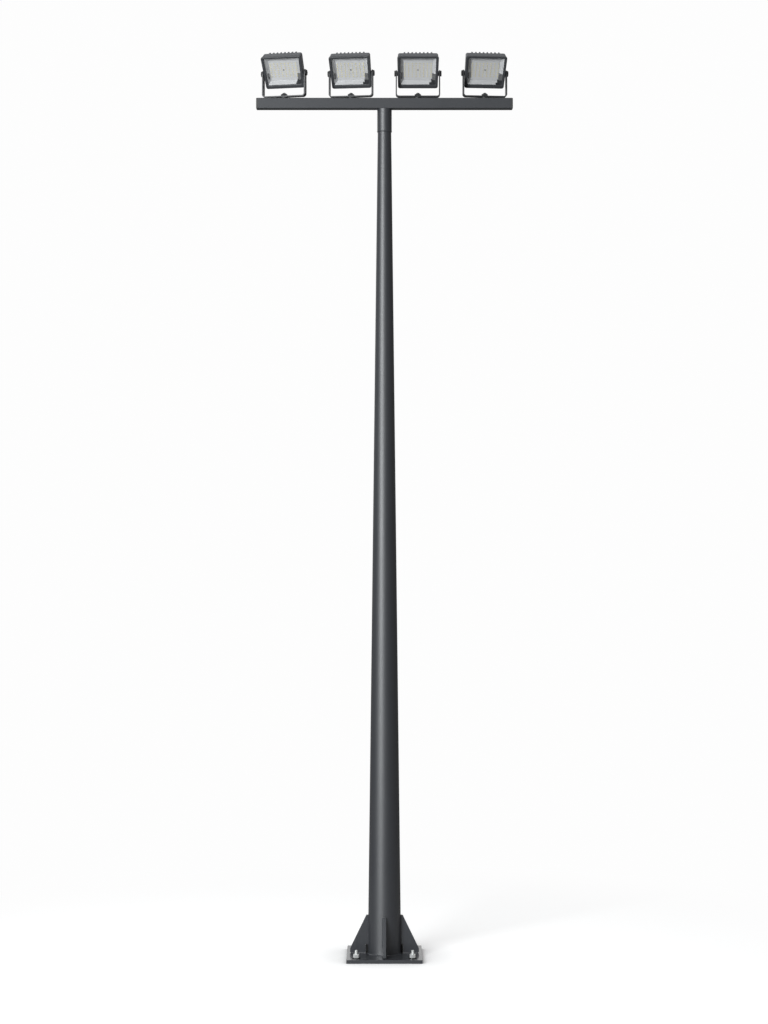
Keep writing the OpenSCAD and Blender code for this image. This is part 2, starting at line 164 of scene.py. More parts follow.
def new_material(name, specular=0.5):
    """An empty material with its shader and its object coordinates."""
    material = bpy.data.materials.new(name)
    material.use_nodes = True
    tree = material.node_tree
    shader = tree.nodes["Principled BSDF"]
    shader.inputs["Specular IOR Level"].default_value = specular
    coords = tree.nodes.new("ShaderNodeTexCoord")
    return material, shader, Value(tree, coords.outputs["Object"])


def join(shader, name, value):
    """Feeds one of a shader's sockets."""
    value.tree.links.new(value.socket, shader.inputs[name])


def noise(where, scale, detail=3.0, roughness=0.5, stretch=(1, 1, 1)):
    """A cloudy pattern from 0 to 1, with that many waves to the metre."""
    if stretch != (1, 1, 1):
        where = where.node("Mapping", {}, {"Vector": where, "Scale": stretch})
    return where.node("TexNoise", {}, {
        "Vector": where, "Scale": scale, "Detail": detail, "Roughness": roughness})


def ramp(value, low, high):
    """0 below the low value and 1 above the high one, with a soft change between."""
    return value.node("MapRange", {"interpolation_type": "SMOOTHSTEP", "clamp": True}, {
        "Value": value, "From Min": low, "From Max": high})


def mix_colours(mask, first, second):
    """The first colour where the mask is 0, the second where it is 1. In colour mode the node's
    sockets 6 and 7 take the colours, and its output 2 gives the mix."""
    return mask.node("Mix", {"data_type": "RGBA"}, {0: mask, 6: first, 7: second}, out=2)


def bump(height, distance, strength=1.0, under=None):
    """A normal that follows a height, given in metres of relief."""
    inputs = {"Height": height, "Distance": distance, "Strength": strength}
    if under:
        inputs["Normal"] = under
    return height.node("Bump", {}, inputs)


# ---------------------------------------------------------------- finishes


def powder_coat(name, level, rough=0.42, tint=0.035, specular=0.4, cloud=2.2, coat=0.0,
                coat_rough=0.48):
    """Satin powder coat on steel: orange peel, faint clouds and a fine speckle."""
    material, shader, where = new_material(name, specular)
    shader.inputs["Coat Weight"].default_value = coat
    shader.inputs["Coat Roughness"].default_value = coat_rough
    clouds = noise(where, cloud, 4.0)
    specks = noise(where, 1400.0, 1.0)
    peel = noise(where, 320.0, 2.0)
    tone = mix_colours(clouds, grey(level * 0.9, tint), grey(level * 1.1, tint * 0.7))
    speckled = mix_colours((specks > 0.62) * 0.25, tone, grey(level * 1.6, tint))
    join(shader, "Base Color", speckled)
    join(shader, "Roughness", rough - 0.05 + 0.1 * clouds)
    relief = bump(peel, 0.00012, 0.5)
    join(shader, "Normal", bump(specks, 0.00004, 0.4, relief))
    return material


def cast_coat(name, level, rough=0.5, tint=0.0, specular=0.4):
    """Painted die casting: a sandy skin with soft pits."""
    material, shader, where = new_material(name, specular)
    sand = noise(where, 900.0, 3.0, 0.65)
    clouds = noise(where, 9.0, 3.0)
    pits = noise(where, 210.0, 1.0)
    join(shader, "Base Color", mix_colours(clouds, grey(level * 0.88, tint), grey(level * 1.12, tint)))
    join(shader, "Roughness", rough - 0.06 + 0.12 * sand)
    relief = bump(pits, 0.0003, 0.35)
    join(shader, "Normal", bump(sand, 0.00012, 0.5, relief))
    return material


def moulded(name, level, rough=0.55, specular=0.4):
    """Moulded plastic: a fine spark-eroded texture with slightly polished patches."""
    material, shader, where = new_material(name, specular)
    texture = noise(where, 1600.0, 2.0, 0.7)
    patches = noise(where, 30.0, 2.0)
    join(shader, "Base Color", mix_colours(patches, grey(level * 0.85), grey(level * 1.2)))
    join(shader, "Roughness", rough - 0.08 + 0.14 * patches)
    join(shader, "Normal", bump(texture, 0.00006, 0.5))
    return material


def zinc_plate(name, level, rough=0.28):
    """Bright zinc on steel: a faint yellow and blue cast and fine turned lines."""
    material, shader, where = new_material(name)
    cast = noise(where, 60.0, 3.0)
    lines = noise(where, 500.0, 2.0, 0.6, (1, 1, 12))
    warm = (level, level * 0.985, level * 0.93, 1.0)
    cool = (level * 0.93, level * 0.97, level, 1.0)
    join(shader, "Base Color", mix_colours(cast, warm, cool))
    join(shader, "Roughness", rough - 0.06 + 0.14 * lines)
    join(shader, "Normal", bump(lines, 0.00005, 0.4))
    shader.inputs["Metallic"].default_value = 0.6
    return material


def reflector_white(name, level, rough=0.35):
    """Pale lamp tray: slightly glossy white with a soft waviness."""
    material, shader, where = new_material(name)
    waves = noise(where, 24.0, 2.0)
    fine = noise(where, 700.0, 2.0)
    join(shader, "Base Color", mix_colours(waves, grey(level * 0.96, 0.012), grey(level * 1.03, 0.004)))
    join(shader, "Roughness", rough - 0.05 + 0.1 * fine)
    join(shader, "Normal", bump(waves, 0.0004, 0.3))
    return material


def phosphor(name):
    """The yellow gel on a lamp chip."""
    material, shader, where = new_material(name)
    cells = noise(where, 300.0, 2.0)
    join(shader, "Base Color", mix_colours(cells, (0.68, 0.58, 0.2, 1), (0.8, 0.7, 0.3, 1)))
    join(shader, "Roughness", 0.25 + 0.1 * cells)
    return material


def clear_glass(name):
    """Toughened glass: see-through, with a reflection that grows towards its edge."""
    material, shader, where = new_material(name)
    tree = material.node_tree
    shader.inputs["Base Color"].default_value = (0.02, 0.022, 0.022, 1)
    shader.inputs["IOR"].default_value = 1.5
    smears = noise(where, 8.0, 3.0)
    join(shader, "Roughness", 0.02 + 0.05 * smears)
    clear = where.node("BsdfTransparent", {}, {"Color": (0.98, 0.98, 0.98, 1)})
    facing = where.node("LayerWeight", {}, {"Blend": 0.5}, out="Facing")
    glint = 0.04 + 0.96 * facing.math("POWER", facing, 5.0)
    coated = Value(tree, shader.outputs[0])
    both = where.node("MixShader", {}, {0: glint, 1: clear, 2: coated})
    tree.links.new(both.socket, tree.nodes["Material Output"].inputs["Surface"])
    return material


def light_path(where, name):
    """One of Light Path's outputs: 1 for that kind of ray, else 0."""
    return where.node("LightPath", out=name)


def seen_directly(where):
    """1 for what the eye, a reflection or a pane of glass sees, and 0 for other light."""
    camera, glossy, through = [light_path(where, name) for name in (
        "Is Camera Ray", "Is Glossy Ray", "Is Transmission Ray")]
    return camera.math("MAXIMUM", camera.math("MAXIMUM", camera, glossy), through)


def floor_white(name, near=1.6, far=4.0, albedo=0.6, glow=0.56, bounce=0.3):
    """Pale matt floor: it takes the shadow near the pole, and further out it is plain white.
    The plain share of its light fades where the plate and the mast stand close."""
    material, shader, where = new_material(name, 0.0)
    distance = where.node("VectorMath", {"operation": "LENGTH"}, {0: where}, out=1)
    away = ramp(distance, near, far)
    seen = seen_directly(where)
    open_sky = where.node("AmbientOcclusion", {"samples": 8}, {"Distance": 0.5}, out=1)
    near_shine = mix_colours(open_sky.math("POWER", open_sky, 3.0), grey(0.0), grey(glow))
    shader.inputs["Roughness"].default_value = 0.9
    lit = mix_colours(light_path(where, "Is Camera Ray"), grey(bounce), grey(albedo))
    join(shader, "Base Color", mix_colours(away, lit, grey(0.0)))
    shader.inputs["Emission Strength"].default_value = 1.0
    shine = mix_colours(away, near_shine, grey(PALE))
    dimmed = mix_colours(away, grey(ROOM * 0.4), grey(ROOM))
    shown = mix_colours(light_path(where, "Is Glossy Ray"), shine, dimmed)
    join(shader, "Emission Color", mix_colours(seen, grey(0.0), shown))
    return material


def add_floor():
    """A wide round floor, which belongs to the studio and not to the pole."""
    bm = bmesh.new()
    bmesh.ops.create_circle(bm, cap_ends=True, radius=60.0, segments=64)
    mesh = bpy.data.meshes.new("floor")
    bm.to_mesh(mesh)
    bm.free()
    mesh.materials.append(floor_white("floor_white"))
    floor = bpy.data.objects.new("floor", mesh)
    bpy.context.scene.collection.objects.link(floor)


def add_world(level):
    """White to the eye, with a plain level of light all round. Reflections show the white
    backdrop on its own side and a dimmer room on the other."""
    world = bpy.data.worlds.new("studio")
    bpy.context.scene.world = world
    world.use_nodes = True
    tree = world.node_tree
    background = tree.nodes["Background"]
    background.inputs["Color"].default_value = (1, 1, 1, 1)
    coords = tree.nodes.new("ShaderNodeTexCoord")
    where = Value(tree, coords.outputs["Generated"])
    towards = where.node("VectorMath", {"operation": "DOT_PRODUCT"}, {0: where, 1: BACKDROP}, out=1)
    height = where.node("SeparateXYZ", {}, {"Vector": where}, out=2)
    mirrored = ROOM + (PALE - ROOM) * ramp(towards, 0.45, 1.0) * ramp(height, 0.04, 0.16)
    glossy, camera = light_path(where, "Is Glossy Ray"), light_path(where, "Is Camera Ray")
    through = light_path(where, "Is Transmission Ray")
    direct = camera.math("MAXIMUM", camera, through)
    strength = level + (PALE - level) * direct + (mirrored - level) * (glossy * (1 - direct))
    tree.links.new(strength.socket, background.inputs["Strength"])


# ---------------------------------------------------------------- making pieces


def finish_piece(name, bm, material, body, sharp=35):
    """Makes a piece of a finished bmesh: outward faces, material and body."""
    bmesh.ops.recalc_face_normals(bm, faces=bm.faces)
    mesh = bpy.data.meshes.new(name)
    bm.to_mesh(mesh)
    bm.free()
    mesh.shade_smooth()
    mesh.set_sharp_from_angle(angle=math.radians(sharp))
    mesh.materials.append(material)
    piece = bpy.data.objects.new(name, mesh)
    bpy.context.scene.collection.objects.link(piece)
    weights = piece.modifiers.new("weights", "WEIGHTED_NORMAL")
    weights.keep_sharp = True
    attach(piece, body)
    return piece


def body_of_node(node):
    """The body that a CAD node moves with."""
    groups = frame["record"]["behaviour"]["bodies"]
    return next(body for body, nodes in groups.items() if node in nodes)


def merged_copy(node):
    """A CAD node's mesh as a bmesh, with its loose triangles joined."""
    bm = bmesh.new()
    bm.from_mesh(frame["nodes"][node].data)
    bmesh.ops.remove_doubles(bm, verts=bm.verts, dist=2e-6)
    return bm


def unique(items):
    """Items without repeats, in their own order, which a set would not keep from run to run."""
    return list(dict.fromkeys(items))


def soften(bm, edges, width, segments=2):
    """Rounds edges by a width."""
    bmesh.ops.bevel(bm, geom=edges, offset=width, offset_type="OFFSET", segments=segments,
                    profile=0.5, affect="EDGES", clamp_overlap=True, material=-1)


def creases(bm, least=30):
    """The edges that turn by more than the least angle."""
    bm.normal_update()
    return [edge for edge in bm.edges
            if edge.is_manifold and edge.calc_face_angle(0) > math.radians(least)]


def dressed(node, width, material):
    """A copy of a CAD node with soft edges, which stands for it."""
    bm = merged_copy(node)
    bmesh.ops.dissolve_limit(bm, angle_limit=math.radians(0.5), verts=bm.verts, edges=bm.edges,
                             use_dissolve_boundaries=False)
    soften(bm, creases(bm), width)
    piece = finish_piece("fine_" + node, bm, material, body_of_node(node))
    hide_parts(node)


def light_place(i):
    """From a light's own frame to the whole object's."""
    tilt = joints[f"tilt_{i}"]
    turn = math.atan2(tilt["axis"][1], tilt["axis"][0])
    drop = math.radians(90 - tilt["range_deg"][1])
    return (Matrix.Translation(Vector(tilt["pos_m"])) @ Matrix.Rotation(turn, 4, "Z")
            @ Matrix.Rotation(drop, 4, "X"))


def own_box(node, place):
    """Lowest and highest corners of a CAD node in a light's own frame."""
    back = place.inverted()
    points = [back @ vert.co for vert in frame["nodes"][node].data.vertices]
    low = Vector(min(point[k] for point in points) for k in range(3))
    high = Vector(max(point[k] for point in points) for k in range(3))
    return low, high


def on_each_light(name, make, material, replaced=None, sharp=35):
    """Makes a piece once for each light, in its place, standing for one of its CAD nodes."""
    for i in LIGHTS:
        bm = make()
        bmesh.ops.transform(bm, matrix=light_place(i), verts=bm.verts)
        piece = finish_piece(f"{name}_{i}", bm, material, f"floodlight_{i}", sharp)
        if replaced:
            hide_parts(f"{replaced}_{i}")


def add_tube(bm, radius, length, place=Matrix(), segments=48, end_radius=None):
    """A closed cylinder or cone that starts at a place and runs along its Z. Gives its verts."""
    move = place @ Matrix.Translation((0, 0, length / 2))
    end = radius if end_radius is None else end_radius
    return bmesh.ops.create_cone(bm, cap_ends=True, segments=segments, radius1=radius, radius2=end,
                                 depth=length, matrix=move)["verts"]


def end_rims(bm, verts, place, at):
    """Edges of the given verts whose two ends lie at a height along a place's Z."""
    back = place.inverted()
    chosen = {vert for vert in verts if abs((back @ vert.co).z - at) < 1e-6}
    return [edge for edge in bm.edges if edge.verts[0] in chosen and edge.verts[1] in chosen]


# ---------------------------------------------------------------- the lights' outline

light_one = light_place(1)
bezel_low, bezel_high = own_box("bezel_1", light_one)
housing_high = own_box("housing_1", light_one)[1]
lens_low, lens_high = own_box("lens_1", light_one)
tray_low, tray_high = own_box("led_tray_1", light_one)
yoke_high = own_box("yoke_1", light_one)[1]

FRAME_LOW = bezel_low.z
FRAME_HIGH = bezel_high.z
FACE = bezel_low.y
FRAME_BACK = bezel_high.y
HALF_TOP = bezel_high.x
TAPER = 6.5 * MM
HALF_BOTTOM = HALF_TOP - TAPER
FRAME_R = 14 * MM
GLASS_R = 7 * MM
MOUTH_R = 5 * MM
RAIL_SIDE = 19 * MM
RAIL_TOP = 14 * MM
RAIL_BOTTOM = 29 * MM
LIP_LAP = 7 * MM
RAILS = {"side": RAIL_SIDE, "low": RAIL_BOTTOM, "top": RAIL_TOP}
POCKET = {side: width - LIP_LAP for side, width in RAILS.items()}
STRIP_T = 8 * MM
STEP = 2 * MM
HOUSING_DRAFT = 3 * MM
END_DRAFT = 1 * MM
FIN_DEPTH = 18 * MM
FIN_PITCH = 27 * MM
FIN_COUNT = 8
FIN_BARE = 51 * MM
ROUND_STEPS = 6
HAIR = 0.06 * MM  # keeps two neighbouring loops out of one plane
CLEAR = 0.2 * MM  # keeps two neighbouring pieces apart

CASE_BACK = housing_high.y - FIN_DEPTH


def outline_loop(bm, depth, inset=0.0, side=0.0, low=0.0, top=0.0, radius=FRAME_R):
    """A closed loop of edges: the light's outline at a depth, with round corners. Inset moves
    every side inwards, and side, low and top move the sides, the bottom and the top further."""
    z0 = FRAME_LOW + inset + low
    z1 = FRAME_HIGH - inset - top
    slant = (HALF_TOP - HALF_BOTTOM) / (FRAME_HIGH - FRAME_LOW)
    x0 = HALF_BOTTOM - inset - side + slant * (z0 - FRAME_LOW)
    x1 = HALF_BOTTOM - inset - side + slant * (z1 - FRAME_LOW)
    old = set(bm.verts)
    corners = [bm.verts.new((x, depth, z)) for x, z in ((-x0, z0), (x0, z0), (x1, z1), (-x1, z1))]
    bm.faces.new(corners)
    bmesh.ops.bevel(bm, geom=corners, offset=radius, offset_type="OFFSET", segments=ROUND_STEPS,
                    profile=0.5, affect="VERTICES", material=-1)
    new = [vert for vert in bm.verts if vert not in old]
    bmesh.ops.delete(bm, geom=unique(face for vert in new for face in vert.link_faces),
                     context="FACES_ONLY")
    return unique(edge for vert in new for edge in vert.link_edges)


def skin(bm, loops, closed=False):
    """Bridges each loop to the next one, and the last to the first where it is closed."""
    pairs = list(zip(loops, loops[1:]))
    if closed:
        pairs.append((loops[-1], loops[0]))
    for one, other in pairs:
        bmesh.ops.bridge_loops(bm, edges=one + other)


def cap(bm, loop):
    """Closes a loop with a flat face."""
    bmesh.ops.edgeloop_fill(bm, edges=loop)


# ---------------------------------------------------------------- the lights' pieces


def make_bezel():
    """Frame round the glass: a round outer edge, a flat band and a slope in to the glass."""
    bm = bmesh.new()
    slope = 8 * MM
    lip_back = lens_low.y
    band = {side: width - slope for side, width in RAILS.items()}
    loops = [
        outline_loop(bm, FRAME_BACK),
        outline_loop(bm, FACE + 3.5 * MM),
        outline_loop(bm, FACE + 1.2 * MM, 0.8 * MM),
        outline_loop(bm, FACE, 3.2 * MM),
        outline_loop(bm, FACE + HAIR, radius=MOUTH_R + slope, **band),
        outline_loop(bm, FACE + 0.5 * MM, 1.0 * MM, radius=MOUTH_R + slope, **band),
        outline_loop(bm, lip_back - 0.9 * MM, radius=MOUTH_R, **RAILS),
        outline_loop(bm, lip_back, radius=MOUTH_R, **RAILS),
        outline_loop(bm, lip_back + HAIR, radius=GLASS_R, **POCKET),
        outline_loop(bm, FRAME_BACK - HAIR, radius=GLASS_R, **POCKET),
    ]
    skin(bm, loops, closed=True)
    return bm


def make_glass():
    """Flat pane with a ground edge, just behind the frame's lip."""
    bm = bmesh.new()
    gap = 0.15 * MM
    arris = 0.6 * MM
    front = lens_low.y + gap
    back = lens_high.y - gap
    loops = [outline_loop(bm, depth, 0.5 * MM + edge, radius=GLASS_R, **POCKET)
             for depth, edge in ((front, arris), (front + arris, 0), (back - arris, 0), (back, arris))]
    skin(bm, loops)
    cap(bm, loops[0])
    cap(bm, loops[-1])
    return bm


TRAY_SLOPE = 22 * MM
TRAY_SHEET = 1.2 * MM
TRAY_FLOOR = tray_high.y - 3 * MM


def make_tray():
    """Pressed reflector: a flat rim, sloping sides and a flat floor, from one sheet."""
    bm = bmesh.new()
    rim = LIP_LAP
    rim_y = tray_low.y + 0.4 * MM
    floor = rim + TRAY_SLOPE
    bend = 1.5 * MM
    front = [(rim_y, 0.7 * MM, GLASS_R), (rim_y + HAIR, rim - bend, 4 * MM),
             (rim_y + bend * 0.5, rim, 3 * MM), (TRAY_FLOOR - bend, floor - bend * 0.7, 3 * MM),
             (TRAY_FLOOR, floor + bend, 3 * MM)]
    back = [(depth + TRAY_SHEET, inset, radius) for depth, inset, radius in reversed(front)]
    loops = [outline_loop(bm, depth, inset, radius=radius, **POCKET)
             for depth, inset, radius in front]
    skin(bm, loops)
    cap(bm, loops[-1])
    under = [outline_loop(bm, depth, inset, radius=radius, **POCKET)
             for depth, inset, radius in back]
    skin(bm, under)
    cap(bm, under[0])
    skin(bm, [under[-1], loops[0]])
    return bm


BOARD_T = 1.6 * MM
BOARD_FRONT = TRAY_FLOOR - BOARD_T
CHIP_COLUMNS = 8
CHIP_ROWS = 7
CHIP_SIZE = 9.5 * MM
CHIP_PITCH_X = 26.2 * MM
CHIP_PITCH_Z = 16 * MM
BOARD_MIDDLE = (FRAME_LOW + RAIL_BOTTOM + FRAME_HIGH - RAIL_TOP) / 2
FACING = Matrix.Rotation(math.radians(90), 4, "X")


def at_front(x, z, depth):
    """A place on the board whose Z points out of the glass."""
    return Matrix.Translation((x, depth, z)) @ FACING


def chip_spots():
    """Centres of the chips, as x and z on the board."""
    for row in range(CHIP_ROWS):
        for column in range(CHIP_COLUMNS):
            yield ((column - (CHIP_COLUMNS - 1) / 2) * CHIP_PITCH_X,
                   BOARD_MIDDLE + (row - (CHIP_ROWS - 1) / 2) * CHIP_PITCH_Z)


def make_board():
    """White circuit board on the tray's floor."""
    bm = bmesh.new()
    inset = TRAY_SLOPE + 3 * MM
    edge = 0.3 * MM
    loops = [outline_loop(bm, depth, inset + more, radius=4 * MM, **RAILS)
             for depth, more in ((TRAY_FLOOR, 0), (BOARD_FRONT + edge, 0), (BOARD_FRONT, edge))]
    skin(bm, loops)
    cap(bm, loops[0])
    cap(bm, loops[-1])
    return bm


def make_chips():
    """Square white packages in rows on the board."""
    bm = bmesh.new()
    height = 1.0 * MM
    for x, z in chip_spots():
        body = bmesh.ops.create_cube(bm, size=1.0, matrix=(
            at_front(x, z, BOARD_FRONT) @ Matrix.Diagonal((CHIP_SIZE, CHIP_SIZE, height, 1))
            @ Matrix.Translation((0, 0, 0.5))))
        top = [edge for edge in unique(e for vert in body["verts"] for e in vert.link_edges)
               if all(vert.co.y < BOARD_FRONT - height / 2 for vert in edge.verts)]
        soften(bm, top, 0.3 * MM, 1)
    return bm


def make_phosphors():
    """A low yellow dome on each package."""
    bm = bmesh.new()
    for x, z in chip_spots():
        place = at_front(x, z, BOARD_FRONT - 0.9 * MM)
        add_tube(bm, 3.8 * MM, 0.5 * MM, place, 16, 3.2 * MM)
    return bm


OPENING_LOW = FRAME_LOW + RAIL_BOTTOM
OPENING_HALF = HALF_BOTTOM - RAIL_SIDE
COVER_FRONT = tray_low.y + CLEAR / 2
COVER_RIGHT = OPENING_HALF + 9 * MM
COVER_STEPS = ((40 * MM, 9 * MM), (28 * MM, 31 * MM))  # each step's width and its top


def add_block(bm, x0, x1, z0, z1, front, back):
    """A box with soft edges, from its two ends along X and Z, and its front and back along Y."""
    middle = Matrix.Translation(((x0 + x1) / 2, (front + back) / 2, (z0 + z1) / 2))
    size = Matrix.Diagonal((x1 - x0, back - front, z1 - z0, 1))
    block = bmesh.ops.create_cube(bm, size=1.0, matrix=middle @ size)["verts"]
    soften(bm, unique(e for vert in block for e in vert.link_edges), 1.2 * MM)


def make_corner_cover():
    """Dark stepped cover over the wiring in the tray's lower right corner, and its screw."""
    bm = bmesh.new()
    low = OPENING_LOW - LIP_LAP
    points = [(COVER_RIGHT, low)]
    for width, height in COVER_STEPS:
        points += [(OPENING_HALF - width, low), (OPENING_HALF - width, OPENING_LOW + height)]
        low = OPENING_LOW + height
    points.append((COVER_RIGHT, low))
    face = bm.faces.new([bm.verts.new((x, COVER_FRONT, z)) for x, z in points])
    walls = bmesh.ops.extrude_face_region(bm, geom=[face])
    moved = [item for item in walls["geom"] if isinstance(item, bmesh.types.BMVert)]
    bmesh.ops.translate(bm, verts=moved, vec=(0, BOARD_FRONT - COVER_FRONT, 0))
    soften(bm, creases(bm, 60), 1.2 * MM)
    screw = at_front(OPENING_HALF - 35 * MM, OPENING_LOW + 7 * MM, BOARD_FRONT)
    add_tube(bm, 4.5 * MM, BOARD_FRONT - COVER_FRONT, screw, 24)
    return bm


def make_terminal():
    """Grey terminal box above the corner cover."""
    bm = bmesh.new()
    foot = OPENING_LOW + COVER_STEPS[-1][1] + CLEAR
    add_block(bm, OPENING_HALF - 21 * MM, COVER_RIGHT, foot, OPENING_LOW + 75 * MM,
              COVER_FRONT + CLEAR / 2, BOARD_FRONT)
    return bm


def make_side_clip():
    """Dark clip at the tray's left edge, level with the knobs, and the strip above it."""
    bm = bmesh.new()
    left = -OPENING_HALF - 4 * MM
    clip = left + 14 * MM
    strip = left + 11 * MM
    add_block(bm, left, clip, -34 * MM, 12 * MM, COVER_FRONT + 5.5 * MM, BOARD_FRONT)
    add_block(bm, left, strip, 11 * MM, 60 * MM, COVER_FRONT + 11.5 * MM, BOARD_FRONT)
    return bm


def make_board_screws():
    """Pan-head screw in the middle of the board."""
    bm = bmesh.new()
    place = at_front(0, BOARD_MIDDLE, BOARD_FRONT)
    head = add_tube(bm, 4 * MM, 2.5 * MM, place, 24)
    soften(bm, end_rims(bm, head, place, 2.5 * MM), 0.9 * MM)
    return bm


CASE_ROUND = 5 * MM
FIN_ROOT = 14 * MM
FIN_CREST = 8 * MM
FIN_ROUND = 5 * MM
BOSS_R = 17 * MM
POCKET_FLOOR = tray_high.y


def make_case():
    """Cast housing: a drafted box with a rounded back edge and a pocket for the tray."""
    bm = bmesh.new()
    length = CASE_BACK - FRAME_BACK
    round_steps = 4
    sections = [(FRAME_BACK, 1.0 * MM), (FRAME_BACK + 1.0 * MM, 0), (CASE_BACK - CASE_ROUND, 0)]
    for step in range(1, round_steps + 1):
        turn = math.radians(90 / round_steps * step)
        sections.append((CASE_BACK - CASE_ROUND + CASE_ROUND * math.sin(turn),
                         CASE_ROUND * (1 - math.cos(turn))))
    loops = []
    for depth, round_in in sections:
        share = (depth - FRAME_BACK) / length
        loops.append(outline_loop(bm, depth, STEP + END_DRAFT * share + round_in,
                                  side=(HOUSING_DRAFT - END_DRAFT) * share))
    skin(bm, loops)
    cap(bm, loops[-1])
    hollow = [outline_loop(bm, FRAME_BACK + HAIR, radius=GLASS_R, **POCKET),
              outline_loop(bm, POCKET_FLOOR, radius=GLASS_R, **POCKET)]
    skin(bm, hollow)
    cap(bm, hollow[-1])
    skin(bm, [loops[0], hollow[0]])
    return bm


def make_fins():
    """Cooling fins on the casting's back: drafted blades with a round upper corner."""
    bm = bmesh.new()
    low_z = FRAME_LOW + FIN_BARE
    high_z = FRAME_HIGH - STEP - END_DRAFT
    sink = 2 * MM
    for number in range(FIN_COUNT):
        x = (number - (FIN_COUNT - 1) / 2) * FIN_PITCH
        root = CASE_BACK - sink
        crest = CASE_BACK + FIN_DEPTH
        side = [(root, low_z - sink), (crest, low_z + FIN_DEPTH), (crest, high_z), (root, high_z)]
        face = bm.faces.new([bm.verts.new((x - FIN_ROOT / 2, y, z)) for y, z in side])
        grown = bmesh.ops.extrude_face_region(bm, geom=[face])["geom"]
        moved = [item for item in grown if isinstance(item, bmesh.types.BMVert)]
        bmesh.ops.translate(bm, verts=moved, vec=(FIN_ROOT, 0, 0))
        blade = moved + list(face.verts)
        for vert in blade:
            if vert.co.y > CASE_BACK:
                vert.co.x = x + math.copysign(FIN_CREST / 2, vert.co.x - x)
        corner = [edge for edge in unique(e for vert in blade for e in vert.link_edges)
                  if all(v.co.y > CASE_BACK and v.co.z > high_z - MM for v in edge.verts)]
        soften(bm, corner, FIN_ROUND, 5)
    soften(bm, [edge for edge in creases(bm, 40)
                if any(vert.co.y > CASE_BACK for vert in edge.verts)], 1.2 * MM)
    return bm


def make_bosses():
    """Round bosses at the sides, cut level with the frame's back."""
    bm = bmesh.new()
    inner = HALF_TOP - 12 * MM
    outer = yoke_high.x - STRIP_T - CLEAR
    for turn in (90, -90):
        place = Matrix.Rotation(math.radians(turn), 4, "Y") @ Matrix.Translation((0, 0, inner))
        verts = add_tube(bm, BOSS_R, outer - inner, place, 64)
        soften(bm, end_rims(bm, verts, place, outer - inner), 1.0 * MM)
    bmesh.ops.bisect_plane(bm, geom=bm.verts[:] + bm.edges[:] + bm.faces[:], dist=1e-6,
                           plane_co=(0, FRAME_BACK + CLEAR, 0), plane_no=(0, -1, 0),
                           clear_outer=True)
    bmesh.ops.holes_fill(bm, edges=bm.edges, sides=0)
    return bm


def make_back_screws():
    """Screws that hold the frame, near the corners of the casting's back, on low pads."""
    bm = bmesh.new()
    backwards = Matrix.Rotation(math.radians(-90), 4, "X")
    head_h = 4 * MM
    x = HALF_BOTTOM - 15 * MM
    for side_x in (-x, x):
        for z in (FRAME_LOW + 17 * MM, FRAME_HIGH - 20 * MM):
            place = Matrix.Translation((side_x, CASE_BACK - 0.5 * MM, z)) @ backwards
            pad = add_tube(bm, 8 * MM, 2.5 * MM, place, 32, 7 * MM)
            soften(bm, end_rims(bm, pad, place, 2.5 * MM), 0.6 * MM)
            top = place @ Matrix.Translation((0, 0, 2.3 * MM))
            head = add_tube(bm, 4.5 * MM, head_h, top, 32)
            soften(bm, end_rims(bm, head, top, head_h), 0.8 * MM)
            crown = top @ Vector((0, 0, head_h))
            sockets = [face for face in bm.faces if (face.calc_center_median() - crown).length < 1e-5]
            bmesh.ops.inset_region(bm, faces=sockets, thickness=1.3 * MM)
            bmesh.ops.translate(bm, verts=unique(v for face in sockets for v in face.verts),
                                vec=(0, -2 * MM, 0))
    return bm


def knob_profile(angle):
    """A knob's reach at an angle: full between the scallops and drawn in at each one."""
    lobes = 8
    dip = 0.5 - 0.5 * math.cos(lobes * angle)
    return 1.0 - 0.16 * dip ** 2.2


def make_knob(sign):
    """Scalloped hand knob with a soft rim, a dished face and a screw end in its middle."""
    knob_low, knob_high = own_box("knob_right_1", light_one)
    radius = (knob_high.z - knob_low.z) / 2
    outer = knob_high.x
    inner = yoke_high.x + CLEAR
    screw_r = 5 * MM
    screw_h = 2.6 * MM
    sideways = Matrix.Rotation(math.radians(90), 4, "Y")
    bm = bmesh.new()
    place = sideways @ Matrix.Translation((0, 0, inner))
    disc = bmesh.ops.create_circle(bm, cap_ends=True, segments=96, radius=radius)["verts"]
    for vert in disc:
        vert.co *= knob_profile(math.atan2(vert.co.y, vert.co.x) + math.radians(22.5))
    grown = bmesh.ops.extrude_face_region(bm, geom=bm.faces[:])["geom"]
    top = [item for item in grown if isinstance(item, bmesh.types.BMVert)]
    bmesh.ops.translate(bm, verts=top, vec=(0, 0, outer - inner))
    soften(bm, creases(bm, 60), 1.8 * MM, 3)
    bm.faces.ensure_lookup_table()
    front = max(bm.faces, key=lambda f: f.calc_center_median().z)
    bmesh.ops.inset_region(bm, faces=[front], thickness=3.2 * MM)
    bmesh.ops.inset_region(bm, faces=[front], thickness=1.2 * MM)
    bmesh.ops.translate(bm, verts=list(front.verts), vec=(0, 0, -1.8 * MM))
    bmesh.ops.transform(bm, matrix=place, verts=bm.verts)
    end = sideways @ Matrix.Translation((0, 0, outer - 3 * MM))
    stub = add_tube(bm, screw_r, screw_h, end, 32)
    soften(bm, end_rims(bm, stub, end, screw_h), 0.8 * MM)
    shank = sideways @ Matrix.Translation((0, 0, knob_low.x))
    add_tube(bm, screw_r, inner - knob_low.x + MM, shank, 32)
    if sign < 0:
        bmesh.ops.transform(bm, matrix=Matrix.Diagonal((-1, 1, 1, 1)), verts=bm.verts)
    return bm


